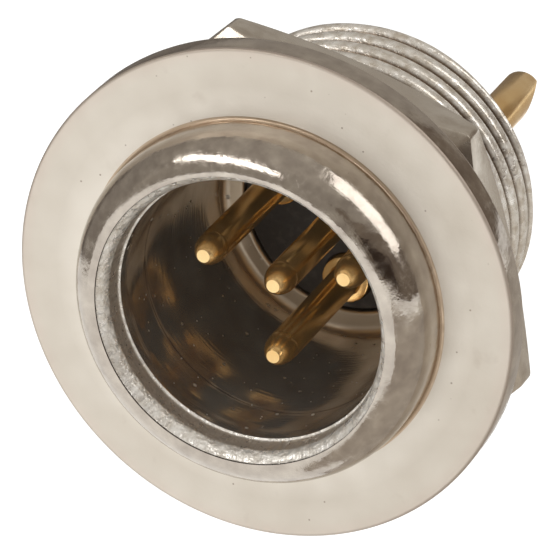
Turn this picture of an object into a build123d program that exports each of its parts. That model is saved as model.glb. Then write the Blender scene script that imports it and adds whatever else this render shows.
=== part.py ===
import os
from math import cos, radians, sin, tan

from build123d import *

# Lengths are in millimetres and angles in degrees.
# The connector's axis is Y, its mouth faces -Y and its solder cups face +Y.
# The face of the flange that bears on the panel lies at Y = 0.

# How near an edge lies to a radius or station that picks it out
edge_match = 0.001

# Shell, turned in one piece: the socket inside it
bore_diameter = 8.6
bore_step = 0.06
bore_step_depth = 2.85
mouth_flare = 0.33
mouth_flare_depth = 0.38
throat_step = 0.12
throat_depth = 0.67
socket_depth = 8.95
ledge_thickness = 0.5

# Shell: nose and flange
nose_wall = 0.97
nose_height = 1.95
nose_round = 0.95
flange_thickness = 1.0
flange_cover = 1.0
flange_edge_chamfer = 0.15

# Shell: threaded barrel behind the flange, with the seat for the insulator in its end
seat_step = 0.3
barrel_wall = 0.9
barrel_end_chamfer = 0.35
relief_width = 0.5
relief_depth = 0.5
rim_thickness = 0.3
rim_overlap = 0.4

# Key that lines the plug up with the contacts
key_width = 1.3
key_height = 0.7
key_length = 2.2

# Insulator that carries the contacts
insulator_clearance = 0.03
insulator_setback = 0.1
insulator_disc = 1.4
insulator_tail = 0.7
insulator_edge = 0.36
collar_pocket_depth = 0.2

# Contacts: one on the axis and three around it
contact_circle_diameter = 4.72
contact_angles = {"right": 15.0, "left": 165.0, "bottom": 270.0}
cup_openings = {"centre": 270.0, "right": 315.0, "left": 225.0, "bottom": 270.0}
contact_clearance = 0.02
pin_diameter = 1.0
pin_tip_diameter = 0.46
pin_tip_length = 0.75
pin_setback = 2.75
collar_diameter = 1.56
collar_thickness = 0.5
cup_diameter = 1.28
cup_bore_diameter = 0.9
cup_length = 6.8
cup_bore_depth = 2.8
drill_point_angle = 118.0
scoop_length = 1.35
scoop_depth = 0.55

# Hex nut that clamps the panel
nut_wall = 1.44
nut_thickness = 2.2
nut_corner_angle = 43.0
nut_clearance = 0.06
nut_face_gap = 0.05
nut_face_setback = 0.2
nut_chamfer_angle = 30.0
nut_mouth_chamfer = 0.3

# Stations along Y that several pieces share
nose_front = -(flange_thickness + nose_height)
ledge_front = nose_front + socket_depth
ledge_back = ledge_front + ledge_thickness
rim_front = ledge_back + insulator_disc
barrel_back = rim_front + rim_thickness
insulator_front = ledge_front + insulator_setback
insulator_back = barrel_back + insulator_tail
pin_front = nose_front + pin_setback
collar_back = insulator_front + collar_pocket_depth
collar_front = collar_back - collar_thickness
cup_back = insulator_back + cup_length
nut_front = nut_face_gap
nut_back = nut_front + nut_thickness

# Radii that several pieces share
bore_radius = bore_diameter / 2
collar_radius = collar_diameter / 2
cup_radius = cup_diameter / 2
ledge_radius = contact_circle_diameter / 2 + collar_radius + insulator_edge
seat_radius = bore_radius + seat_step
rim_radius = seat_radius - rim_overlap
barrel_radius = seat_radius + barrel_wall
nut_bore_radius = barrel_radius + nut_clearance
nut_flat_radius = nut_bore_radius + nut_wall
flange_radius = nut_flat_radius + flange_cover

os.makedirs("parts", exist_ok=True)


def turned_edges(piece, radius, station):
    """The turned edge of a piece that has this radius, at this place along Y."""
    return piece.edges().filter_by(GeomType.CIRCLE).filter_by(
        lambda edge: abs(edge.radius - radius) < edge_match
        and abs(edge.arc_center.Y - station) < edge_match
    )


# The shell is a half section turned about Y, with the key standing on its ledge.
inner_bore_radius = bore_radius - bore_step
throat_radius = bore_radius + throat_step
mouth_radius = throat_radius + mouth_flare
nose_radius = mouth_radius + nose_wall
throat_front = nose_front + mouth_flare_depth
throat_back = throat_front + throat_depth
step_front = nose_front + bore_step_depth
relief_radius = barrel_radius - relief_depth
with BuildPart() as shell:
    with BuildSketch(Plane.XY):
        with BuildLine():
            Polyline(
                (mouth_radius, nose_front),
                (throat_radius, throat_front),
                (bore_radius, throat_back),
                (bore_radius, step_front),
                (inner_bore_radius, step_front + bore_step),
                (inner_bore_radius, ledge_front),
                (ledge_radius, ledge_front),
                (ledge_radius, ledge_back),
                (seat_radius, ledge_back),
                (seat_radius, rim_front),
                (rim_radius, rim_front),
                (rim_radius, barrel_back),
                (barrel_radius, barrel_back),
                (barrel_radius, relief_width + relief_depth),
                (relief_radius, relief_width),
                (relief_radius, 0),
                (flange_radius, 0),
                (flange_radius, -flange_thickness),
                (nose_radius, -flange_thickness),
                (nose_radius, nose_front),
                (mouth_radius, nose_front),
            )
        make_face()
    revolve(axis=Axis.Y)
    fillet(turned_edges(shell, nose_radius, nose_front), nose_round)
    chamfer(turned_edges(shell, flange_radius, -flange_thickness), flange_edge_chamfer)
    chamfer(turned_edges(shell, flange_radius, 0), flange_edge_chamfer)
    chamfer(turned_edges(shell, barrel_radius, barrel_back), barrel_end_chamfer)
    with BuildSketch(Plane.XZ.offset(-ledge_front)):
        with Locations((0, bore_radius - key_height / 2)):
            Rectangle(key_width, key_height)
    extrude(amount=key_length)
shell.part.label = "shell"
export_step(shell.part, "parts/shell.step")


def contact_place(name):
    """Where a contact stands across the axis, as X and Z."""
    if name not in contact_angles:
        return 0.0, 0.0
    angle = radians(contact_angles[name])
    radius = contact_circle_diameter / 2
    return radius * cos(angle), radius * sin(angle)


places = {name: contact_place(name) for name in cup_openings}

# The insulator goes in from behind, stops at the ledge and is held by the rolled rim.
plug_radius = ledge_radius - insulator_clearance
disc_radius = seat_radius - insulator_clearance
tail_radius = rim_radius - insulator_clearance
with BuildPart() as insulator:
    with BuildSketch(Plane.XY):
        Polygon(
            (0, insulator_front),
            (plug_radius, insulator_front),
            (plug_radius, ledge_back),
            (disc_radius, ledge_back),
            (disc_radius, rim_front),
            (tail_radius, rim_front),
            (tail_radius, insulator_back),
            (0, insulator_back),
            align=None,
        )
    revolve(axis=Axis.Y)
    with BuildSketch(Plane.XZ.offset(-insulator_front)):
        with Locations(*places.values()):
            Circle(collar_radius + contact_clearance)
    extrude(amount=-collar_pocket_depth, mode=Mode.SUBTRACT)
    with BuildSketch(Plane.XZ.offset(-insulator_front)):
        with Locations(*places.values()):
            Circle(cup_radius + contact_clearance)
    extrude(amount=insulator_front - insulator_back, mode=Mode.SUBTRACT)
insulator.part.label = "insulator"
export_step(insulator.part, "parts/insulator.step")

# Each contact is turned about its own line, then its solder cup is bored and cut aslant.
pin_radius = pin_diameter / 2
tip_radius = pin_tip_diameter / 2
cup_bore_radius = cup_bore_diameter / 2
pin_shoulder = pin_front + pin_tip_length
cup_floor = cup_back - cup_bore_depth
drill_point = cup_floor - cup_bore_radius * tan(radians(90 - drill_point_angle / 2))
for name, opening in cup_openings.items():
    x, z = places[name]
    turn = radians(opening)
    axis = Axis((x, 0, z), (0, 1, 0))
    section = Plane(origin=(x, 0, z), x_dir=(cos(turn), 0, sin(turn)), z_dir=(-sin(turn), 0, cos(turn)))
    with BuildPart() as contact:
        with BuildSketch(section):
            with BuildLine():
                TangentArc((pin_radius, pin_shoulder), (tip_radius, pin_front), tangent=(0, -1))
                Polyline(
                    (tip_radius, pin_front),
                    (0, pin_front),
                    (0, cup_back),
                    (cup_radius, cup_back),
                    (cup_radius, collar_back),
                    (collar_radius, collar_back),
                    (collar_radius, collar_front),
                    (pin_radius, collar_front),
                    (pin_radius, pin_shoulder),
                )
            make_face()
        revolve(axis=axis)
        with BuildSketch(section):
            Polygon(
                (0, drill_point),
                (cup_bore_radius, cup_floor),
                (cup_bore_radius, cup_back),
                (0, cup_back),
                align=None,
            )
        revolve(axis=axis, mode=Mode.SUBTRACT)
        with BuildSketch(section):
            Polygon(
                (cup_radius, cup_back - scoop_length),
                (cup_radius - scoop_depth, cup_back),
                (cup_diameter, cup_back),
                (cup_diameter, cup_back - scoop_length),
                align=None,
            )
        extrude(amount=cup_radius, both=True, mode=Mode.SUBTRACT)
    contact.part.label = f"contact_{name}"
    export_step(contact.part, f"parts/contact_{name}.step")

# The nut is a hexagon whose corners are turned off at both faces.
nut_corner_radius = nut_flat_radius / cos(radians(30))
nut_face_radius = nut_flat_radius - nut_face_setback
corner_drop = (nut_corner_radius - nut_face_radius) * tan(radians(nut_chamfer_angle))
with BuildPart() as hex_nut:
    with BuildSketch(Plane.XZ.offset(-nut_front)):
        RegularPolygon(nut_flat_radius, 6, major_radius=False, rotation=nut_corner_angle)
        Circle(nut_bore_radius, mode=Mode.SUBTRACT)
    extrude(amount=-nut_thickness)
    with BuildSketch(Plane.XY):
        Polygon(
            (0, nut_front),
            (nut_face_radius, nut_front),
            (nut_corner_radius, nut_front + corner_drop),
            (nut_corner_radius, nut_back - corner_drop),
            (nut_face_radius, nut_back),
            (0, nut_back),
            align=None,
        )
    revolve(axis=Axis.Y, mode=Mode.INTERSECT)
    chamfer(turned_edges(hex_nut, nut_bore_radius, nut_front), nut_mouth_chamfer)
    chamfer(turned_edges(hex_nut, nut_bore_radius, nut_back), nut_mouth_chamfer)
hex_nut.part.label = "hex_nut"
export_step(hex_nut.part, "parts/hex_nut.step")
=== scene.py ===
from math import asin, cos, degrees, pi, radians, sin, tan

import bmesh
import bpy
from mathutils import Matrix, Vector


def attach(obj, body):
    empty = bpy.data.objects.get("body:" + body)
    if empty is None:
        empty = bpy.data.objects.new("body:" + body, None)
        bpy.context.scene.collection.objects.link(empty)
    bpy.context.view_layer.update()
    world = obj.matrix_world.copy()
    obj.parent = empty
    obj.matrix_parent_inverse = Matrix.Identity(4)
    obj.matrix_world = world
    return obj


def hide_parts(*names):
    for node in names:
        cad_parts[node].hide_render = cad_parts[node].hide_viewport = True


# Sizes in the settings are in mm and angles in degrees. The connector's axis is Y, its mouth faces -Y and
# its key is at +Z.
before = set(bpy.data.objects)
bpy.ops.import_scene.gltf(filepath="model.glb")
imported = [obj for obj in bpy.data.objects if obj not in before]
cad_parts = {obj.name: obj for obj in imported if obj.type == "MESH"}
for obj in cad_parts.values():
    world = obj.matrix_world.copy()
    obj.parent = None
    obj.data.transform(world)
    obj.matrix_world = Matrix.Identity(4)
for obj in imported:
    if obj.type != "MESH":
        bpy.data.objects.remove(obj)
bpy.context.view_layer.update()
mm = 0.001
metre = 1000  # in mm
weld = 1e-7  # points nearer than this, in metres, become one
scene = bpy.context.scene
scene.view_settings.view_transform = "Standard"
print("Frame loaded:", ", ".join(sorted(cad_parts)))


def linearColour(code):
    # sRGB hex to linear RGBA
    channels = [int(code[i:i + 2], 16) / 255 for i in (1, 3, 5)]
    return [c / 12.92 if c <= 0.04045 else ((c + 0.055) / 1.055) ** 2.4 for c in channels] + [1.0]


def addNode(tree, kind, inputs=None, **settings):
    # a node with its settings, its input values, colours in hex, and the links into it
    node = tree.nodes.new(kind)
    for name, value in settings.items():
        setattr(node, name, value)
    for socket, value in (inputs or {}).items():
        if isinstance(value, str):
            value = linearColour(value)
        if isinstance(value, bpy.types.NodeSocket):
            tree.links.new(value, node.inputs[socket])
        else:
            node.inputs[socket].default_value = value
    return node


def polar(radius, angle, y):
    # a point round the connector's axis, in metres; the angle is in radians, 0 at +X and a quarter turn at +Z
    return Vector((radius * cos(angle), y, radius * sin(angle))) * mm


def arc(centre, radius, start, end, count):
    # points along an arc of a flat outline
    turns = [radians(start + (end - start) * i / count) for i in range(count + 1)]
    return [(centre[0] + radius * cos(t), centre[1] + radius * sin(t)) for t in turns]


def gridFaces(bm, columns, zones, closed=True):
    # quads between columns of points that go round the axis, where the last column lies on the first;
    # zones gives each row's material, and closed joins the end of each column to its start
    grid = [[bm.verts.new(p) for p in column] for column in columns]
    for here, there in zip(grid, grid[1:]):
        for j in range(len(here) if closed else len(here) - 1):
            k = (j + 1) % len(here)
            face = bm.faces.new((here[j], here[k], there[k], there[j]))
            face.material_index = zones[j]
    bmesh.ops.remove_doubles(bm, verts=bm.verts, dist=weld)
    bmesh.ops.dissolve_degenerate(bm, edges=bm.edges, dist=weld / 10)


def newPiece(name, bm, sharpAngle, materials, body, node):
    # a smooth piece with its edges above an angle kept sharp, that rides on a body and stands for a node
    bmesh.ops.recalc_face_normals(bm, faces=bm.faces)
    mesh = bpy.data.meshes.new(name)
    bm.to_mesh(mesh)
    bm.free()
    mesh.shade_smooth()
    mesh.set_sharp_from_angle(angle=radians(sharpAngle))
    for material in materials:
        mesh.materials.append(material)
    piece = bpy.data.objects.new(name, mesh)
    scene.collection.objects.link(piece)
    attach(piece, body)
    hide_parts(node)


# Patterns that the finishes are made of

def grain(tree, place, size, detail=2.0, stretch=(1, 1, 1)):
    # soft noise with blobs of about this size, drawn out along an axis by stretch
    spread = addNode(tree, "ShaderNodeVectorMath", {0: place, 1: [metre / size / s for s in stretch]},
                     operation="MULTIPLY").outputs[0]
    return addNode(tree, "ShaderNodeTexNoise",
                   {"Vector": spread, "Scale": 1.0, "Detail": detail}).outputs["Fac"]


def axisDistance(tree, place):
    # distance from the connector's axis, in metres
    flat = addNode(tree, "ShaderNodeVectorMath", {0: place, 1: (1, 0, 1)}, operation="MULTIPLY").outputs[0]
    return addNode(tree, "ShaderNodeVectorMath", {0: flat}, operation="LENGTH").outputs["Value"]


def axisDirection(tree, place):
    # direction straight away from the connector's axis
    flat = addNode(tree, "ShaderNodeVectorMath", {0: place, 1: (1, 0, 1)}, operation="MULTIPLY").outputs[0]
    return addNode(tree, "ShaderNodeVectorMath", {0: flat}, operation="NORMALIZE").outputs[0]


def latheLines(tree, place, spacing, reach, climb=1.3):
    # marks that a turning tool leaves round the axis; reach is how many times they change in a turn,
    # and climb counts the way along the axis in, so that faces and sides both have them
    along = addNode(tree, "ShaderNodeSeparateXYZ", {0: place}).outputs["Y"]
    travel = addNode(tree, "ShaderNodeMath", {0: along, 1: climb, 2: axisDistance(tree, place)},
                     operation="MULTIPLY_ADD").outputs[0]
    cut = addNode(tree, "ShaderNodeMath", {0: travel, 1: metre / spacing}, operation="MULTIPLY").outputs[0]
    sweep = addNode(tree, "ShaderNodeVectorMath", {0: axisDirection(tree, place), 1: (reach, 0, reach)},
                    operation="MULTIPLY").outputs[0]
    lift = addNode(tree, "ShaderNodeCombineXYZ", {"Y": cut}).outputs[0]
    spot = addNode(tree, "ShaderNodeVectorMath", {0: sweep, 1: lift}, operation="ADD").outputs[0]
    return addNode(tree, "ShaderNodeTexNoise", {"Vector": spot, "Scale": 1.0, "Detail": 1.0}).outputs["Fac"]


def specks(tree, place, spacing, size, share):
    # 1 inside small round specks that fade over half their size; they lie about this spacing apart,
    # and a share of them is there
    cells = addNode(tree, "ShaderNodeTexVoronoi", {"Vector": place, "Scale": metre / spacing})
    near = addNode(tree, "ShaderNodeMapRange", {
        "Value": cells.outputs["Distance"], "From Min": size / spacing, "From Max": size / spacing * 0.5,
    }).outputs[0]
    luck = addNode(tree, "ShaderNodeSeparateColor", {0: cells.outputs["Color"]}).outputs[0]
    chosen = addNode(tree, "ShaderNodeMath", {0: luck, 1: share}, operation="LESS_THAN").outputs[0]
    return addNode(tree, "ShaderNodeMath", {0: near, 1: chosen}, operation="MULTIPLY").outputs[0]


def uneven(tree, place, size, limits, detail=2.0, span=(0.3, 0.7)):
    # a value that wanders between two limits in patches of about this size; span is the stretch of the
    # noise in which it changes
    return addNode(tree, "ShaderNodeMapRange", {
        "Value": grain(tree, place, size, detail), "From Min": span[0], "From Max": span[1],
        "To Min": limits[0], "To Max": limits[1],
    }).outputs[0]


def mottled(tree, place, size, tones, detail=3.0):
    # a colour that wanders between two tones in patches of about this size
    share = uneven(tree, place, size, (0.0, 1.0), detail)
    return addNode(tree, "ShaderNodeMix", {0: share, 6: tones[0], 7: tones[1]}, data_type="RGBA").outputs[2]


def startMaterial(name, metallic):
    # a material, its tree, its Principled shader and the place on the piece, in metres
    material = bpy.data.materials.new(name)
    material.use_nodes = True
    tree = material.node_tree
    shader = tree.nodes["Principled BSDF"]
    shader.inputs["Metallic"].default_value = metallic
    place = addNode(tree, "ShaderNodeTexCoord").outputs["Object"]
    return material, tree, shader, place


def dressMaterial(tree, shader, tone, stainsAndPaintedLight, rough, relief):
    # each (share, colour) in the list of stains and painted light or shade goes over the tone, and relief is
    # (height, depth) of bumps, the first one lowest
    for share, layerColour in stainsAndPaintedLight:
        tone = addNode(tree, "ShaderNodeMix", {0: share, 6: tone, 7: layerColour}, data_type="RGBA").outputs[2]
    tree.links.new(tone, shader.inputs["Base Color"])
    tree.links.new(rough, shader.inputs["Roughness"])
    normal = None
    for height, depth in relief:
        inputs = {"Height": height, "Distance": depth * mm, "Strength": 1.0}
        if normal is not None:
            inputs["Normal"] = normal
        normal = addNode(tree, "ShaderNodeBump", inputs).outputs[0]
    tree.links.new(normal, shader.inputs["Normal"])


# Shell, turned from brass bar and nickel plated

shellSettings = {
    "stepsAround": 256, "sharpAngle": 38.0,
    "flangeRadius": 7.994, "flangeThickness": 1.0, "flangeEdge": 0.1,
    "noseRadius": 5.72, "noseFront": -2.95, "noseRoot": 0.1,
    "sideRound": 1.3, "sideTurn": 64.0, "lipRound": 0.7, "lipTurn": 88.0, "lipRun": 0.02, "lipFall": 0.003,
    "boreRadius": 4.3, "boreStep": 0.06, "stepFront": -0.1, "stepRun": 0.12,
    "ledgeRadius": 3.5, "ledgeFront": 6.0, "ledgeBack": 6.5, "ledgeRound": 0.12, "ledgeHollow": 0.3,
    "keyWidth": 1.3, "keyLow": 3.6, "keyHigh": 4.45, "keyFront": 3.8, "keyBack": 6.1, "keyRound": 0.16,
    "seatRadius": 4.6, "rimFront": 7.9, "rimRadius": 4.2, "rimRound": 0.12,
    "barrelRadius": 5.5, "barrelBack": 8.2, "barrelChamfer": 0.35, "barrelRun": 0.12,
    "reliefRadius": 5.0, "reliefWidth": 0.5, "reliefRound": 0.1,
    # more points along the nose's side, the flange's two faces and the bore, so that no face gets long
    "sideRows": (-1.45, -1.25), "frontRows": (5.84, 6.4, 7.0, 7.5), "backRows": (7.0, 6.0),
    "innerRows": (4.0, 2.0), "boreRow": -1.0,
    # (radius, y) out of the bore: throat with two small steps, then the flare up to the lip
    "mouthRows": [
        (4.30, -1.85), (4.305, -1.86), (4.32, -1.872), (4.35, -1.88), (4.365, -1.895), (4.372, -1.95),
        (4.395, -2.46), (4.40, -2.50), (4.413, -2.53), (4.425, -2.56), (4.445, -2.61), (4.475, -2.67),
        (4.52, -2.735), (4.575, -2.795), (4.63, -2.845), (4.67, -2.885), (4.688, -2.92),
    ],
    "thread": {"pitch": 0.8, "depth": 0.27, "crest": 0.42, "crestRound": 0.045, "turns": 12},
    "flangeFinish": {
        "metallic": 0.72, "tones": ("#CFC6B9", "#D6CEC2"), "roughness": (0.44, 0.54),
        "rim": "#D2C2B6", "rimRadii": (7.5, 8.1),
        "worn": "#96877A", "wornRadii": (7.88, 7.98), "wornShare": 0.7,
        "blush": "#B9AC9E", "blushShare": 0.45,
        # painted light: the flange is painted paler towards the nose's root, where the nose shades it
        "paintedLightNearNose": "#F1EADF", "paintedLightNearNoseRadii": (6.8, 5.8), "paintedLightNearNoseShare": 0.65,
        "pits": "#A39587", "pitShare": 0.5,
    },
    "noseFinish": {
        "metallic": 1.0, "tones": ("#ABA197", "#C9C0B4"), "roughness": (0.04, 0.26),
        "tarnish": "#8E827A", "tarnishShare": 0.3,
        "crease": "#C4AF98", "creaseStations": (-1.13, -1.03), "creaseRadius": 6.2, "creaseDulling": 0.25,
    },
    "threadFinish": {
        "metallic": 0.8, "tones": ("#CFC5B6", "#FFFCF6"), "roughness": (0.2, 0.42),
        # grime and painted shade: darker towards the thread's roots
        "paintedShadeAndGrime": "#6F5E4D", "paintedShadeAndGrimeRadii": (5.42, 5.33),
    },
    "boreFinish": {
        "metallic": 0.9, "tones": ("#BFB2A2", "#DDD6CB"), "roughness": (0.1, 0.18),
        # painted shade: a thin darker ring on the small step
        "paintedStepShade": "#A89D90", "paintedStepShadePlace": -0.07, "paintedStepShadeHalf": 0.02,
        "ledge": "#B3A593", "ledgeStations": (5.5, 5.9), "ledgeDulling": 0.22,
        "dust": "#E8E3DB", "dustDulling": 0.5,
    },
    "flareFinish": {
        "metallic": 0.68, "tones": ("#DCD5CA", "#FBF8F2"), "roughness": (0.22, 0.46),
        "throat": "#C2B6A8", "throatStations": (-2.56, -2.48), "boreStations": (-1.96, -1.9),
        # painted shade: a thin dark ring at the lip
        "paintedLipShade": "#4A4038", "paintedLipShadeRadius": 4.684, "paintedLipShadeHalf": 0.009,
        "marksRound": 26.0,
    },
}


def makeSatinNickel():
    # bright nickel on a faced and tumbled brass flange: a warm pale sheen with no sharp reflection,
    # faint turning rings, a pinker worn rim, a few dark pits, and a paler band of painted light round the
    # nose's root
    f = shellSettings["flangeFinish"]
    material, tree, shader, place = startMaterial("tumbledNickelPlate", f["metallic"])
    radius = axisDistance(tree, place)
    rim = addNode(tree, "ShaderNodeMapRange", {
        "Value": radius, "From Min": f["rimRadii"][0] * mm, "From Max": f["rimRadii"][1] * mm,
    }).outputs[0]
    rim = addNode(tree, "ShaderNodeMath", {0: rim, 1: grain(tree, place, size=0.5)},
                  operation="MULTIPLY").outputs[0]
    worn = addNode(tree, "ShaderNodeMapRange", {
        "Value": radius, "From Min": f["wornRadii"][0] * mm, "From Max": f["wornRadii"][1] * mm,
        "To Max": f["wornShare"],
    }).outputs[0]
    blush = uneven(tree, place, size=1.1, limits=(0.0, f["blushShare"]), detail=3.0, span=(0.66, 0.78))
    # painted light: a paler tone towards the nose's root, where the nose shades the flange
    paintedLightNearNose = addNode(tree, "ShaderNodeMapRange", {
        "Value": radius, "From Min": f["paintedLightNearNoseRadii"][0] * mm, "From Max": f["paintedLightNearNoseRadii"][1] * mm,
        "To Max": f["paintedLightNearNoseShare"],
    }).outputs[0]
    pits = specks(tree, place, spacing=0.5, size=0.04, share=f["pitShare"])
    dressMaterial(
        tree, shader, mottled(tree, place, size=2.6, tones=f["tones"]),
        stainsAndPaintedLight=[(rim, f["rim"]), (worn, f["worn"]), (blush, f["blush"]), (paintedLightNearNose, f["paintedLightNearNose"]),
                (pits, f["pits"])],
        rough=uneven(tree, place, size=0.9, limits=f["roughness"]),
        relief=[(grain(tree, place, size=0.12, detail=3.0), 0.0045),  # the tumbled skin
                (latheLines(tree, place, spacing=0.11, reach=2.0), 0.0016),
                (grain(tree, place, size=0.5), 0.004)])
    return material


def makeBrightNickel():
    # bright nickel over a turned and polished nose: near mirror, wavy and dented where the polish was uneven,
    # cloudy in patches, and browner and duller in a narrow band at the crease against the flange
    f = shellSettings["noseFinish"]
    material, tree, shader, place = startMaterial("brightNickelTurned", f["metallic"])
    along = addNode(tree, "ShaderNodeSeparateXYZ", {0: place}).outputs["Y"]
    tarnish = uneven(tree, place, size=0.45, limits=(0.0, f["tarnishShare"]), detail=5.0, span=(0.4, 0.75))
    crease = addNode(tree, "ShaderNodeMapRange", {
        "Value": along, "From Min": f["creaseStations"][0] * mm, "From Max": f["creaseStations"][1] * mm,
    }).outputs[0]
    nearBase = addNode(tree, "ShaderNodeMath", {0: axisDistance(tree, place), 1: f["creaseRadius"] * mm},
                       operation="LESS_THAN").outputs[0]
    crease = addNode(tree, "ShaderNodeMath", {0: crease, 1: nearBase}, operation="MULTIPLY").outputs[0]
    rough = uneven(tree, place, size=0.3, limits=f["roughness"], detail=6.0)
    rough = addNode(tree, "ShaderNodeMath", {0: crease, 1: f["creaseDulling"], 2: rough},
                    operation="MULTIPLY_ADD").outputs[0]
    dressMaterial(
        tree, shader, mottled(tree, place, size=0.6, tones=f["tones"], detail=5.0),
        stainsAndPaintedLight=[(tarnish, f["tarnish"]), (crease, f["crease"])],
        rough=rough,
        relief=[(grain(tree, place, size=0.9), 0.02),  # waves from the polishing wheel
                (grain(tree, place, size=0.25, detail=3.0), 0.008),
                (latheLines(tree, place, spacing=0.1, reach=3.0), 0.0018)])
    return material


def makeThreadNickel():
    # bright nickel on a cut thread: torn crests that sparkle, and a brown darkening down in the grooves,
    # partly grime and partly painted shade
    f = shellSettings["threadFinish"]
    material, tree, shader, place = startMaterial("nickelCutThread", f["metallic"])
    # grime and painted shade: the tone darkens towards the thread's roots, where the flanks shade them
    paintedShadeAndGrime = addNode(tree, "ShaderNodeMapRange", {
        "Value": axisDistance(tree, place),
        "From Min": f["paintedShadeAndGrimeRadii"][0] * mm, "From Max": f["paintedShadeAndGrimeRadii"][1] * mm,
    }).outputs[0]
    dressMaterial(
        tree, shader, mottled(tree, place, size=0.3, tones=f["tones"]),
        stainsAndPaintedLight=[(paintedShadeAndGrime, f["paintedShadeAndGrime"])],
        rough=uneven(tree, place, size=0.2, limits=f["roughness"]),
        relief=[(grain(tree, place, size=0.13), 0.02),  # the torn crests
                (latheLines(tree, place, spacing=0.09, reach=9.0), 0.006)])
    return material


def makeBoreNickel():
    # thin nickel inside the drilled bore: a little hazy and brown, with long scratches round it, a faint
    # line of painted shade at the small step and some dust
    f = shellSettings["boreFinish"]
    material, tree, shader, place = startMaterial("nickelBoreDrilled", f["metallic"])
    along = addNode(tree, "ShaderNodeSeparateXYZ", {0: place}).outputs["Y"]
    # painted shade: a thin darker ring on the small step, so that its slope doesn't shine
    line = addNode(tree, "ShaderNodeMath", {0: along, 1: f["paintedStepShadePlace"] * mm, 2: f["paintedStepShadeHalf"] * mm},
                   operation="COMPARE").outputs[0]
    ledge = addNode(tree, "ShaderNodeMapRange", {
        "Value": along, "From Min": f["ledgeStations"][0] * mm, "From Max": f["ledgeStations"][1] * mm,
    }).outputs[0]
    coarse = specks(tree, place, spacing=0.6, size=0.08, share=0.4)
    fine = specks(tree, place, spacing=0.28, size=0.035, share=0.35)
    dust = addNode(tree, "ShaderNodeMath", {0: coarse, 1: fine}, operation="MAXIMUM").outputs[0]
    rough = uneven(tree, place, size=0.8, limits=f["roughness"], detail=3.0)
    rough = addNode(tree, "ShaderNodeMath", {0: dust, 1: f["dustDulling"], 2: rough},
                    operation="MULTIPLY_ADD").outputs[0]
    rough = addNode(tree, "ShaderNodeMath", {0: ledge, 1: f["ledgeDulling"], 2: rough},
                    operation="MULTIPLY_ADD").outputs[0]
    dressMaterial(
        tree, shader, mottled(tree, place, size=1.0, tones=f["tones"], detail=6.0),
        stainsAndPaintedLight=[(line, f["paintedStepShade"]), (ledge, f["ledge"]), (dust, f["dust"])],
        rough=rough,
        relief=[(latheLines(tree, place, spacing=0.16, reach=4.0), 0.004), (dust, 0.01)])
    return material


def makeFlareNickel():
    # nickel on the flared mouth, where the tool chattered: short crooked marks that glint one by one,
    # a browner throat behind them and a dark line of painted shade at the lip
    f = shellSettings["flareFinish"]
    material, tree, shader, place = startMaterial("nickelFlareChattered", f["metallic"])
    along = addNode(tree, "ShaderNodeSeparateXYZ", {0: place}).outputs["Y"]
    inside = addNode(tree, "ShaderNodeMapRange", {
        "Value": along, "From Min": f["throatStations"][0] * mm, "From Max": f["throatStations"][1] * mm,
    }).outputs[0]
    outside = addNode(tree, "ShaderNodeMapRange", {
        "Value": along, "From Min": f["boreStations"][0] * mm, "From Max": f["boreStations"][1] * mm,
        "To Min": 1.0, "To Max": 0.0,
    }).outputs[0]
    throat = addNode(tree, "ShaderNodeMath", {0: inside, 1: outside}, operation="MULTIPLY").outputs[0]
    # painted shade: a thin dark ring just inside the lip's edge
    paintedLipShade = addNode(tree, "ShaderNodeMath", {
        0: axisDistance(tree, place), 1: f["paintedLipShadeRadius"] * mm, 2: f["paintedLipShadeHalf"] * mm,
    }, operation="COMPARE").outputs[0]
    turn = addNode(tree, "ShaderNodeVectorMath",
                   {0: axisDirection(tree, place), 1: (f["marksRound"], 0, f["marksRound"])},
                   operation="MULTIPLY").outputs[0]
    marks = addNode(tree, "ShaderNodeTexNoise", {"Vector": turn, "Scale": 1.0, "Detail": 3.0}).outputs["Fac"]
    dressMaterial(
        tree, shader, mottled(tree, place, size=0.3, tones=f["tones"]),
        stainsAndPaintedLight=[(paintedLipShade, f["paintedLipShade"]), (throat, f["throat"])],
        rough=uneven(tree, place, size=0.25, limits=f["roughness"]),
        relief=[(marks, 0.05), (grain(tree, place, size=0.2), 0.055)])
    return material


def threadProfile(sizes):
    # (place along one pitch, depth below the crest) of a 60 degree thread; the shares of half and soft
    # draw the curves of its crest and root
    half, soft, depth = sizes["crest"] / 2, sizes["crestRound"], sizes["depth"]
    run = half + (depth - 2 * soft) * tan(radians(60 / 2))
    side = [
        (0.0, 0.0), (half * 0.45, soft * 0.12), (half * 0.8, soft * 0.45), (half, soft),
        (run, depth - soft), (run + soft * 0.5, depth - soft * 0.35), (run + soft * 1.2, depth),
    ]
    return [(-x, d) for x, d in side[:0:-1]] + side


def threadDepth(profile, pitch, place):
    # depth below the crest at any place along the pitch
    place = (place - profile[0][0]) % pitch + profile[0][0]
    closed = profile + [(profile[0][0] + pitch, profile[0][1])]
    for (a, depthA), (b, depthB) in zip(closed, closed[1:]):
        if a <= place <= b:
            return depthA + (depthB - depthA) * (place - a) / (b - a)
    return profile[0][1]


def threadRows(sizes, angle, low, high):
    # (y, depth below the crest) along a right-hand thread at one angle in radians, cut off at low and high
    profile, pitch = threadProfile(sizes), sizes["pitch"]
    shift = -pitch * angle / (2 * pi)
    rows = []
    for turn in range(sizes["turns"]):
        for place, _ in profile:
            y = min(max(turn * pitch + place + shift, low), high)
            rows.append((y, threadDepth(profile, pitch, y - shift)))
    return rows


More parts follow.
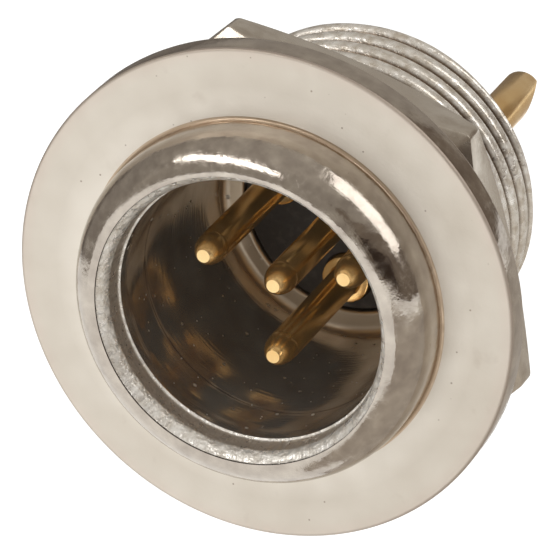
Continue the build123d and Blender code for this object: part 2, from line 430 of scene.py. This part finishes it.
def noseOutline():
    # (radius, y) from the lip, where the nose turns tightly, over its gentler side to the flange
    s = shellSettings
    nose, root, side, lip = s["noseRadius"], s["noseRoot"], s["sideRound"], s["lipRound"]
    turn = radians(s["sideTurn"])
    lipCentre = (nose - side + (side - lip) * cos(turn), s["noseFront"] + lip)
    sideCentre = (nose - side, lipCentre[1] + (side - lip) * sin(turn))
    points = arc(lipCentre, lip, 360 - s["lipTurn"], 360 - s["sideTurn"], count=10)
    points.insert(0, (points[0][0] - s["lipRun"], points[0][1] + s["lipFall"]))
    points += arc(sideCentre, side, 360 - s["sideTurn"], 360, count=22)[1:]
    points += [(nose, y) for y in s["sideRows"]]
    return points + arc((nose + root, -s["flangeThickness"] - root), root, 180, 90, count=6)


def flangeFront():
    # (radius, y) over the front face and round its edge
    s = shellSettings
    front, edge = -s["flangeThickness"], s["flangeEdge"]
    face = [(r, front) for r in s["frontRows"]]
    return face + arc((s["flangeRadius"] - edge, front + edge), edge, 270, 360, count=5)[:-1]


def flangeBack():
    # (radius, y) round the back edge and over the face that bears on the panel, into the thread's relief
    s = shellSettings
    edge, relief, soft = s["flangeEdge"], s["reliefRadius"], s["reliefRound"]
    points = arc((s["flangeRadius"] - edge, -edge), edge, 0, 90, count=5)
    return points + [(r, 0.0) for r in s["backRows"]] + [(relief + soft, 0.0), (relief, soft)]


def barrelColumn(angle):
    # (radius, y) of the threaded barrel at one angle, from the relief to the end face
    s = shellSettings
    low, high = s["reliefWidth"], s["barrelBack"]
    end = s["barrelRadius"] - s["barrelChamfer"]
    return [(min(s["barrelRadius"] - depth, s["reliefRadius"] + y - low, end + high - y), y)
            for y, depth in threadRows(s["thread"], angle, low, high)]


def barrelEnd():
    # (radius, y) over the end face and round the rolled rim
    s = shellSettings
    back, soft = s["barrelBack"], s["rimRound"]
    face = [(s["barrelRadius"] - s["barrelChamfer"] - s["barrelRun"], back)]
    return face + arc((s["rimRadius"] + soft, back - soft), soft, 90, 180, count=5)


def boreOutline():
    # (radius, y) from the rim over the insulator's seat and the ledge, and along the bore towards the mouth
    s = shellSettings
    ledge, soft, hollow, step = s["ledgeRadius"], s["ledgeRound"], s["ledgeHollow"], s["boreStep"]
    inner = s["boreRadius"] - step
    points = [(s["rimRadius"], s["rimFront"]), (s["seatRadius"], s["rimFront"]),
              (s["seatRadius"], s["ledgeBack"]), (ledge, s["ledgeBack"])]
    points += arc((ledge + soft, s["ledgeFront"] + soft), soft, 180, 270, count=6)
    points += arc((inner - hollow, s["ledgeFront"] - hollow), hollow, 90, 0, count=8)
    points += [(inner, y) for y in s["innerRows"]]
    points += [(inner, s["stepFront"] + step + s["stepRun"]), (inner + step / 2, s["stepFront"] + step / 2)]
    return points + [(s["boreRadius"], s["stepFront"] - s["stepRun"]), (s["boreRadius"], s["boreRow"])]


def addKey(bm, zone):
    # the key inside the socket: a block with rounded inner edges that stands on the ledge, let into the wall
    s = shellSettings
    low = (-s["keyWidth"] / 2, s["keyFront"], s["keyLow"])
    high = (s["keyWidth"] / 2, s["keyBack"], s["keyHigh"])
    corners = bmesh.ops.create_cube(bm, size=1.0)["verts"]
    for corner in corners:
        corner.co = Vector([b if c > 0 else a for c, a, b in zip(corner.co, low, high)]) * mm
        for face in corner.link_faces:
            face.material_index = zone
    middle = [(a + b) / 2 * mm for a, b in zip(low, high)]
    edges = dict.fromkeys(edge for corner in corners for edge in corner.link_edges)
    shown = [e for e in edges
             if any(v.co.z < middle[2] for v in e.verts) and any(v.co.y < middle[1] for v in e.verts)]
    bmesh.ops.bevel(bm, geom=shown, offset=s["keyRound"] * mm, segments=4, profile=0.5, affect="EDGES",
                    material=zone)


def makeShell():
    s = shellSettings
    finishes = [makeBrightNickel(), makeSatinNickel(), makeThreadNickel(), makeBoreNickel(),
                makeFlareNickel()]
    nose, flange, thread, bore, flare = range(len(finishes))
    side = [(s["flangeRadius"], s["flangeEdge"] - s["flangeThickness"])]
    before = [(noseOutline(), nose), (flangeFront(), flange), (side, nose), (flangeBack(), flange)]
    after = [(barrelEnd(), flange), (boreOutline(), bore), (s["mouthRows"], flare)]
    columns = []
    for i in range(s["stepsAround"] + 1):
        angle = 2 * pi * i / s["stepsAround"]
        stretches = before + [(barrelColumn(angle), thread)] + after
        columns.append([polar(r, angle, y) for points, _ in stretches for r, y in points])
    zones = [zone for points, zone in stretches for _ in points]
    bm = bmesh.new()
    gridFaces(bm, columns, zones)
    addKey(bm, bore)
    newPiece("turnedShell", bm, s["sharpAngle"], finishes, "connector", "shell")


makeShell()
print("Shell made")

# Hex nut, cut from hexagon bar and nickel plated

nutSettings = {
    "flatRadius": 7.0, "cornerAngle": 43.0, "cornerRound": 0.22, "arcSteps": 6, "flatSteps": 36,
    "front": 0.05, "back": 2.25, "faceRadius": 6.8, "chamferAngle": 30.0, "sharpAngle": 25.0,
    "edgeBreak": 0.05, "edgeBow": (0.27, 0.15), "boreRadius": 5.54, "mouthChamfer": 0.34,
    "thread": {"pitch": 0.8, "depth": 0.3, "crest": 0.16, "crestRound": 0.05, "turns": 6},
    "finish": {
        "metallic": 0.96, "tones": ("#C8BFB2", "#D6CFC4"), "roughness": (0.16, 0.28),
        # painted shade: streaky brown on the turned-off corners
        "paintedChamferShade": "#8A7660", "paintedChamferShadeRadii": (7.25, 7.6), "paintedChamferShadeShare": 0.35,
    },
}


def makeNutNickel():
    # bright nickel on drawn hexagon bar: smooth flats with faint lines along the bar, light handling marks
    # and streaky brown painted shade on the corners where they were turned off
    f = nutSettings["finish"]
    material, tree, shader, place = startMaterial("brightNickelHexBar", f["metallic"])
    # painted shade: streaky brown on the turned-off corners of both chamfers
    corner = addNode(tree, "ShaderNodeMapRange", {
        "Value": axisDistance(tree, place),
        "From Min": f["paintedChamferShadeRadii"][0] * mm, "From Max": f["paintedChamferShadeRadii"][1] * mm,
    }).outputs[0]
    paintedChamferShade = uneven(tree, place, size=0.5, limits=(0.0, f["paintedChamferShadeShare"]), detail=4.0, span=(0.42, 0.68))
    paintedChamferShade = addNode(tree, "ShaderNodeMath", {0: corner, 1: paintedChamferShade}, operation="MULTIPLY").outputs[0]
    dressMaterial(
        tree, shader, mottled(tree, place, size=1.4, tones=f["tones"]),
        stainsAndPaintedLight=[(paintedChamferShade, f["paintedChamferShade"])],
        rough=uneven(tree, place, size=0.6, limits=f["roughness"]),
        relief=[(grain(tree, place, size=0.08, stretch=(1, 30, 1)), 0.0012),  # lines along the bar
                (grain(tree, place, size=1.2), 0.005),
                (grain(tree, place, size=0.3, detail=3.0), 0.001)])
    return material


def hexOutline():
    # (x, z) round a hexagon with slightly rounded corners and evenly spaced points along its flats
    s = nutSettings
    centre = (s["flatRadius"] - s["cornerRound"]) / cos(radians(30))
    shares = [k / s["flatSteps"] for k in range(1, s["flatSteps"])]
    corners = []
    for corner in range(6):
        turn = radians(s["cornerAngle"] + 60 * corner)
        corners.append([(x * cos(turn) - z * sin(turn), x * sin(turn) + z * cos(turn))
                        for x, z in arc((centre, 0.0), s["cornerRound"], -30, 30, count=s["arcSteps"])])
    outline = []
    for here, there in zip(corners, corners[1:] + corners[:1]):
        (x0, z0), (x1, z1) = here[-1], there[0]
        outline += here + [(x0 + (x1 - x0) * t, z0 + (z1 - z0) * t) for t in shares]
    return outline


def nutThreadColumn(angle):
    # (radius, y) of the nut's inside thread at one angle, from its front to its back;
    # it is cut outwards from the bore, so that it never meets the barrel's thread
    s = nutSettings
    bore, front, back = s["boreRadius"], s["front"], s["back"]
    return [(max(bore + depth, bore + s["mouthChamfer"] - min(y - front, back - y)), y)
            for y, depth in threadRows(s["thread"], angle, front, back)]


def makeNut():
    s = nutSettings
    slope, face, edge, bow = tan(radians(s["chamferAngle"])), s["faceRadius"], s["edgeBreak"], s["edgeBow"]
    outline = hexOutline()
    columns, angle = [], 0.0
    for i in range(len(outline) + 1):
        spot, last = Vector(outline[i % len(outline)]), Vector(outline[i - 1])
        angle += last.angle(spot) if i else 0.0
        reach = spot.length
        drop = (reach - face) * slope
        # the edge between the turned chamfer and the flat is softly broken
        broken = [(reach - edge, drop - edge * slope), (reach - edge * bow[0], drop + edge * bow[1]),
                  (reach, drop + edge)]
        profile = nutThreadColumn(angle) + [(face, s["back"])]
        profile += [(r, s["back"] - rise) for r, rise in broken]
        profile += [(r, s["front"] + rise) for r, rise in reversed(broken)] + [(face, s["front"])]
        across = spot / reach
        columns.append([Vector((across.x * r, y, across.y * r)) * mm for r, y in profile])
    bm = bmesh.new()
    gridFaces(bm, columns, [0] * len(columns[0]))
    newPiece("hexNut", bm, s["sharpAngle"], [makeNutNickel()], "nut", "hex_nut")


makeNut()
print("Nut made")

# Contacts: turned brass pins with a collar, and drilled solder cups cut aslant at the back, gold plated

contactSettings = {
    "stepsAround": 48, "sharpAngle": 35.0, "circleRadius": 2.36,
    # name: angle round the axis or None for the one on it, and the side that its cup opens to
    "places": {
        "centre": (None, 270.0), "right": (15.0, 315.0), "left": (165.0, 225.0), "bottom": (270.0, 270.0),
    },
    "pinRadius": 0.5, "pinFront": -0.2, "pinShoulder": 0.55, "pinRow": 3.0,
    "tipRadius": 0.23, "tipEdge": 0.02,
    "grooveGap": 0.05, "grooveWidth": 0.05, "grooveDepth": 0.008,
    "collarRadius": 0.78, "collarFront": 5.8, "collarBack": 6.3, "collarEdge": 0.07,
    "filletRun": 0.06, "filletRise": 0.04,
    "cupRadius": 0.64, "cupBore": 0.45, "cupFloor": 12.9, "cupBack": 15.699, "drillDepth": 0.27,
    "cupRows": (9.0, 11.0, 13.0), "cupEdge": 0.035,
    "edgeBow": 0.3,  # how far in the middle of a broken edge lies, as a share of the edge
    "scoopLength": 1.35, "scoopDepth": 0.55, "scoopEdge": 0.021,
    "finish": {"metallic": 0.94, "tones": ("#E6BE80", "#F4D39A"), "roughness": (0.2, 0.27)},
}


def makeContactGold():
    # gold flash on a turned brass contact: satin, with fine rings along the pin and duller brassy patches
    f = contactSettings["finish"]
    material, tree, shader, place = startMaterial("goldFlashTurned", f["metallic"])
    dressMaterial(
        tree, shader, mottled(tree, place, size=0.9, tones=f["tones"]),
        stainsAndPaintedLight=[],
        rough=uneven(tree, place, size=0.8, limits=f["roughness"]),
        relief=[(grain(tree, place, size=1.2, detail=1.0), 0.003),
                (grain(tree, place, size=0.07, detail=1.0, stretch=(60, 1, 60)), 0.0006),  # turning rings
                (grain(tree, place, size=0.12, detail=1.0, stretch=(1, 25, 1)), 0.0003)])  # drawing lines
    return material


def contactPlace(name):
    # where a contact stands, across the axis
    angle = contactSettings["places"][name][0]
    return Vector((0, 0, 0)) if angle is None else polar(contactSettings["circleRadius"], radians(angle), 0.0)


def contactProfile():
    # (radius, y) from the tip, along the pin and over the collar to the cup's end, and back into its bore
    s = contactSettings
    pin, tip, front, shoulder = s["pinRadius"], s["tipRadius"], s["pinFront"], s["pinShoulder"]
    run = shoulder - front
    bend = ((pin - tip) ** 2 + run ** 2) / (2 * (pin - tip))
    points = [(0.0, front), (tip - s["tipEdge"], front), (tip, front + s["tipEdge"])]
    points += arc((pin - bend, shoulder), bend, -degrees(asin(run / bend)), 0, count=10)[1:]
    groove, width = shoulder + s["grooveGap"], s["grooveWidth"]
    points += [(pin, groove), (pin - s["grooveDepth"], groove + width / 2), (pin, groove + width)]
    collar, start, edge, bow = s["collarRadius"], s["collarFront"], s["collarEdge"], s["edgeBow"]
    points += [(pin, s["pinRow"]), (pin, start - s["filletRun"]), (pin + s["filletRise"], start),
               (collar - edge, start), (collar - edge * bow, start + edge * bow), (collar, start + edge),
               (collar, s["collarBack"])]
    cup, bore, end, edge = s["cupRadius"], s["cupBore"], s["cupBack"], s["cupEdge"]
    points += [(cup, s["collarBack"])] + [(cup, y) for y in s["cupRows"]]
    points += [(cup, end - edge), (cup - edge * bow, end - edge * bow), (cup - edge, end)]
    points += [(bore + edge, end), (bore, end - edge), (bore, s["cupFloor"])]
    return points + [(0.0, s["cupFloor"] - s["drillDepth"])]


def makeContact(name, gold):
    s = contactSettings
    outline, steps = contactProfile(), s["stepsAround"]
    columns = [[polar(r, 2 * pi * i / steps, y) for r, y in outline] for i in range(steps + 1)]
    bm = bmesh.new()
    gridFaces(bm, columns, [0] * len(outline), closed=False)

    # the slanting cut opens the cup to one side
    opening = radians(s["places"][name][1])
    side = Vector((cos(opening), 0, sin(opening)))
    start = (side * s["cupRadius"] + Vector((0, s["cupBack"] - s["scoopLength"], 0))) * mm
    across = (side * s["scoopLength"] + Vector((0, s["scoopDepth"], 0))).normalized()
    cut = bmesh.ops.bisect_plane(bm, geom=bm.verts[:] + bm.edges[:] + bm.faces[:], dist=weld / 100,
                                 plane_co=start, plane_no=across, clear_outer=True)
    rim = [e for e in cut["geom_cut"] if isinstance(e, bmesh.types.BMEdge)]
    bmesh.ops.holes_fill(bm, edges=rim)
    rim = [e for e in rim if e.is_valid and len(e.link_faces) == 2]
    bmesh.ops.bevel(bm, geom=rim, offset=s["scoopEdge"] * mm, segments=2, profile=0.5, affect="EDGES",
                    clamp_overlap=True)
    bmesh.ops.translate(bm, vec=contactPlace(name), verts=bm.verts)
    newPiece("pinAndCup_" + name, bm, s["sharpAngle"], [gold], "connector", "contact_" + name)


contactGold = makeContactGold()
for contactName in contactSettings["places"]:
    makeContact(contactName, contactGold)
print("Contacts made")

# Insulator: a moulded disc with a pocket for each collar and a rounded tail behind the rim

insulatorSettings = {
    "stepsAround": 96, "stepsHole": 48, "stepsGate": 32, "sharpAngle": 30.0,
    "plugRadius": 3.47, "discRadius": 4.57, "tailRadius": 4.17,
    "front": 6.1, "discFront": 6.5, "discBack": 7.9, "back": 8.9, "edgeRound": 0.1, "tailRound": 0.18,
    "pocketRadius": 0.8, "pocketDepth": 0.2, "pocketEdge": 0.03, "holeRadius": 0.66, "holeChamfer": 0.08,
    # the dimple where the mould's gate was: its x and z, and (radius, depth) of its rings
    "gatePlace": (1.25, 1.95), "gateRings": [(0.35, 0.0), (0.29, 0.05), (0.23, 0.08)],
    "finish": {"tone": "#332E2A", "dust": "#48423D", "roughness": (0.4, 0.6)},
}


def makeBlackNylon():
    # black glass-filled nylon, injection moulded: dull, finely grained, greyed by a little dust
    f = insulatorSettings["finish"]
    material, tree, shader, place = startMaterial("blackNylonMoulded", 0.0)
    dust = uneven(tree, place, size=0.25, limits=(0.0, 1.0), detail=5.0, span=(0.5, 0.8))
    dressMaterial(
        tree, shader, f["tone"],
        stainsAndPaintedLight=[(dust, f["dust"])],
        rough=uneven(tree, place, size=0.15, limits=f["roughness"]),
        relief=[(grain(tree, place, size=0.08), 0.004), (grain(tree, place, size=0.6), 0.006)])
    return material


def ringStrip(bm, centre, points, steps):
    # a strip of quads through rings (radius, y) round a centre in metres; gives its two end loops
    rings = []
    for radius, y in points:
        rings.append([bm.verts.new(centre + polar(radius, 2 * pi * i / steps, y)) for i in range(steps)])
    for here, there in zip(rings, rings[1:]):
        for i in range(steps):
            k = (i + 1) % steps
            bm.faces.new((here[i], here[k], there[k], there[i]))
    return [[bm.edges.get((ring[i], ring[(i + 1) % steps])) for i in range(steps)]
            for ring in (rings[0], rings[-1])]


def makeInsulator():
    s = insulatorSettings
    soft, tail, edge, end = s["edgeRound"], s["tailRound"], s["pocketEdge"], s["back"]
    outline = arc((s["plugRadius"] - soft, s["front"] + soft), soft, 270, 360, count=5)
    outline += [(s["plugRadius"], s["discFront"]), (s["discRadius"], s["discFront"]),
                (s["discRadius"], s["discBack"]), (s["tailRadius"], s["discBack"])]
    outline += arc((s["tailRadius"] - tail, end - tail), tail, 0, 90, count=6)
    bm = bmesh.new()
    front, back = ringStrip(bm, Vector((0, 0, 0)), outline, s["stepsAround"])
    pocket, floor = s["pocketRadius"], s["front"] + s["pocketDepth"]
    hole, chamfer = s["holeRadius"], s["holeChamfer"]
    bore = [(pocket + edge, s["front"]), (pocket, s["front"] + edge), (pocket, floor), (hole, floor),
            (hole, end - chamfer), (hole + chamfer, end)]
    for name in contactSettings["places"]:
        first, last = ringStrip(bm, contactPlace(name), bore, s["stepsHole"])
        front += first
        back += last
    gate = Vector((s["gatePlace"][0], 0, s["gatePlace"][1])) * mm
    first, dimple = ringStrip(bm, gate, [(r, end - depth) for r, depth in s["gateRings"]], s["stepsGate"])
    back += first
    for loop in (dimple, front, back):
        bmesh.ops.triangle_fill(bm, edges=loop, use_beauty=True)
    newPiece("mouldedInsulator", bm, s["sharpAngle"], [makeBlackNylon()],
             "connector", "insulator")


makeInsulator()
print("Insulator made")

# Camera

cameraSettings = {
    "azimuth": 22.0, "elevation": 24.8, "distance": 170.0, "lens": 362.8, "sensor": 36.0,
    "target": (0.0, -1.0, 0.0), "right": 0.518, "up": 0.506,
    "clip": (0.01, 10.0),  # metres
}


def direction(azimuth, elevation):
    # unit vector from the object; azimuth 0 is in front of the mouth, 90 is on the +X side
    a, e = radians(azimuth), radians(elevation)
    return Vector((sin(a) * cos(e), -cos(a) * cos(e), sin(e)))


def makeCamera():
    c = cameraSettings
    data = bpy.data.cameras.new("photoCamera")
    data.lens, data.sensor_width = c["lens"], c["sensor"]
    data.clip_start, data.clip_end = c["clip"]
    camera = bpy.data.objects.new("photoCamera", data)
    scene.collection.objects.link(camera)
    back = direction(c["azimuth"], c["elevation"])
    right = Vector((cos(radians(c["azimuth"])), sin(radians(c["azimuth"])), 0))
    up = back.cross(right)
    matrix = Matrix((right, up, back)).transposed().to_4x4()
    place = Vector(c["target"]) + c["distance"] * back + c["right"] * right + c["up"] * up
    matrix.translation = place * mm
    camera.matrix_world = matrix
    scene.camera = camera


makeCamera()
print("Camera made")

# Studio

studioSettings = {
    "floorDrop": 40.0, "floorSize": 6000.0, "floorColour": "#E6E6E4", "floorGlow": 0.45, "fill": 0.54,
    "white": "#FFFFFF", "cardColumns": 48, "cardRows": 12,
    "lamps": [
        # name, azimuth, elevation, distance, width, height, power, shown in reflections
        ("frontBox", -36.0, 40.0, 500.0, 430.0, 100.0, 0.55, True),
        ("rightBox", 102.0, 43.0, 500.0, 310.0, 440.0, 0.8, True),
        ("frontFill", -4.0, 6.0, 600.0, 700.0, 600.0, 2.4, False),
    ],
    "cards": [
        # name, azimuths, elevations, distance, colour: grey walls and ceiling that only reflections see
        ("walls", -180.0, 180.0, -2.0, 52.0, 640.0, "#B0AAA2"),
        ("ceiling", -180.0, 180.0, 52.0, 90.0, 640.0, "#BDB7AF"),
        ("leftWall", -150.0, -62.0, -17.0, 30.0, 110.0, "#A29C95"),
        ("rightWall", 22.0, 160.0, -3.0, 33.0, 600.0, "#857A6F"),
        ("rightCorner", 28.0, 66.0, 2.0, 18.0, 560.0, "#463C35"),
        ("lowRight", 100.0, 178.0, -38.0, -6.0, 60.0, "#BDB6AD"),
        ("lowCorner", 34.0, 112.0, -40.0, -8.0, 60.0, "#C8C0B6"),
        ("underRight", -4.0, 178.0, -80.0, -34.0, 38.0, "#C6BEB4"),
        ("leftDark", -170.0, -104.0, -16.0, 14.0, 105.0, "#7C756E"),
    ],
}


def makeCard(name, west, east, low, high, distance, colour):
    # a curved grey card round the object
    columns, rows = studioSettings["cardColumns"], studioSettings["cardRows"]
    points = [direction(west + (east - west) * i / columns, low + (high - low) * j / rows) * distance * mm
              for i in range(columns + 1) for j in range(rows + 1)]
    corners = [i * (rows + 1) + j for i in range(columns) for j in range(rows)]
    faces = [(c, c + rows + 1, c + rows + 2, c + 1) for c in corners]
    mesh = bpy.data.meshes.new(name)
    mesh.from_pydata(points, [], faces)
    material = bpy.data.materials.new(name + "Paint")
    material.use_nodes = True
    tree = material.node_tree
    tree.nodes.clear()
    light = addNode(tree, "ShaderNodeEmission", {"Color": colour, "Strength": 1.0}).outputs[0]
    addNode(tree, "ShaderNodeOutputMaterial", {"Surface": light})
    mesh.materials.append(material)
    card = bpy.data.objects.new(name, mesh)
    scene.collection.objects.link(card)
    card.visible_camera = card.visible_diffuse = card.visible_transmission = card.visible_shadow = False


def makeLamp(name, azimuth, elevation, distance, width, height, power, shown):
    # a soft box that faces the object
    data = bpy.data.lights.new(name, "AREA")
    data.shape, data.size, data.size_y, data.energy = "RECTANGLE", width * mm, height * mm, power
    lamp = bpy.data.objects.new(name, data)
    lamp.visible_glossy = shown
    scene.collection.objects.link(lamp)
    away = direction(azimuth, elevation)
    lamp.location = away * distance * mm
    lamp.rotation_euler = away.to_track_quat("Z", "Y").to_euler()


def seenDirectly(tree):
    # 1 for the camera, reflections and glass, 0 for the light that falls on the object
    path = addNode(tree, "ShaderNodeLightPath").outputs
    seen = addNode(tree, "ShaderNodeMath", {0: path["Is Camera Ray"], 1: path["Is Glossy Ray"]},
                   operation="MAXIMUM").outputs[0]
    return addNode(tree, "ShaderNodeMath", {0: seen, 1: path["Is Transmission Ray"]},
                   operation="MAXIMUM").outputs[0]


def makeFloor():
    # matt white paint that glows a little where it is seen, so that it stays pale under a soft shadow
    s = studioSettings
    half, low = s["floorSize"] / 2 * mm, -s["floorDrop"] * mm
    mesh = bpy.data.meshes.new("floor")
    mesh.from_pydata([(-half, -half, low), (half, -half, low), (half, half, low), (-half, half, low)],
                     [], [(0, 1, 2, 3)])
    material = bpy.data.materials.new("paintedFloor")
    material.use_nodes = True
    tree = material.node_tree
    tree.nodes.clear()
    glow = addNode(tree, "ShaderNodeMath", {0: seenDirectly(tree), 1: s["floorGlow"]}, operation="MULTIPLY")
    paint = addNode(tree, "ShaderNodeBsdfDiffuse", {"Color": s["floorColour"]})
    light = addNode(tree, "ShaderNodeEmission", {"Color": s["white"], "Strength": glow.outputs[0]})
    both = addNode(tree, "ShaderNodeAddShader", {0: paint.outputs[0], 1: light.outputs[0]})
    addNode(tree, "ShaderNodeOutputMaterial", {"Surface": both.outputs[0]})
    mesh.materials.append(material)
    floor = bpy.data.objects.new("floor", mesh)
    scene.collection.objects.link(floor)


def makeStudio():
    s = studioSettings
    world = bpy.data.worlds.new("studioWorld")
    scene.world = world
    world.use_nodes = True
    tree = world.node_tree
    tree.nodes.clear()
    level = addNode(tree, "ShaderNodeMapRange",
                    {"Value": seenDirectly(tree), "To Min": s["fill"], "To Max": 1.0})
    sky = addNode(tree, "ShaderNodeBackground", {"Color": s["white"], "Strength": level.outputs[0]})
    addNode(tree, "ShaderNodeOutputWorld", {"Surface": sky.outputs[0]})
    makeFloor()
    for lamp in s["lamps"]:
        makeLamp(*lamp)
    for card in s["cards"]:
        makeCard(*card)


makeStudio()
print("Studio made")
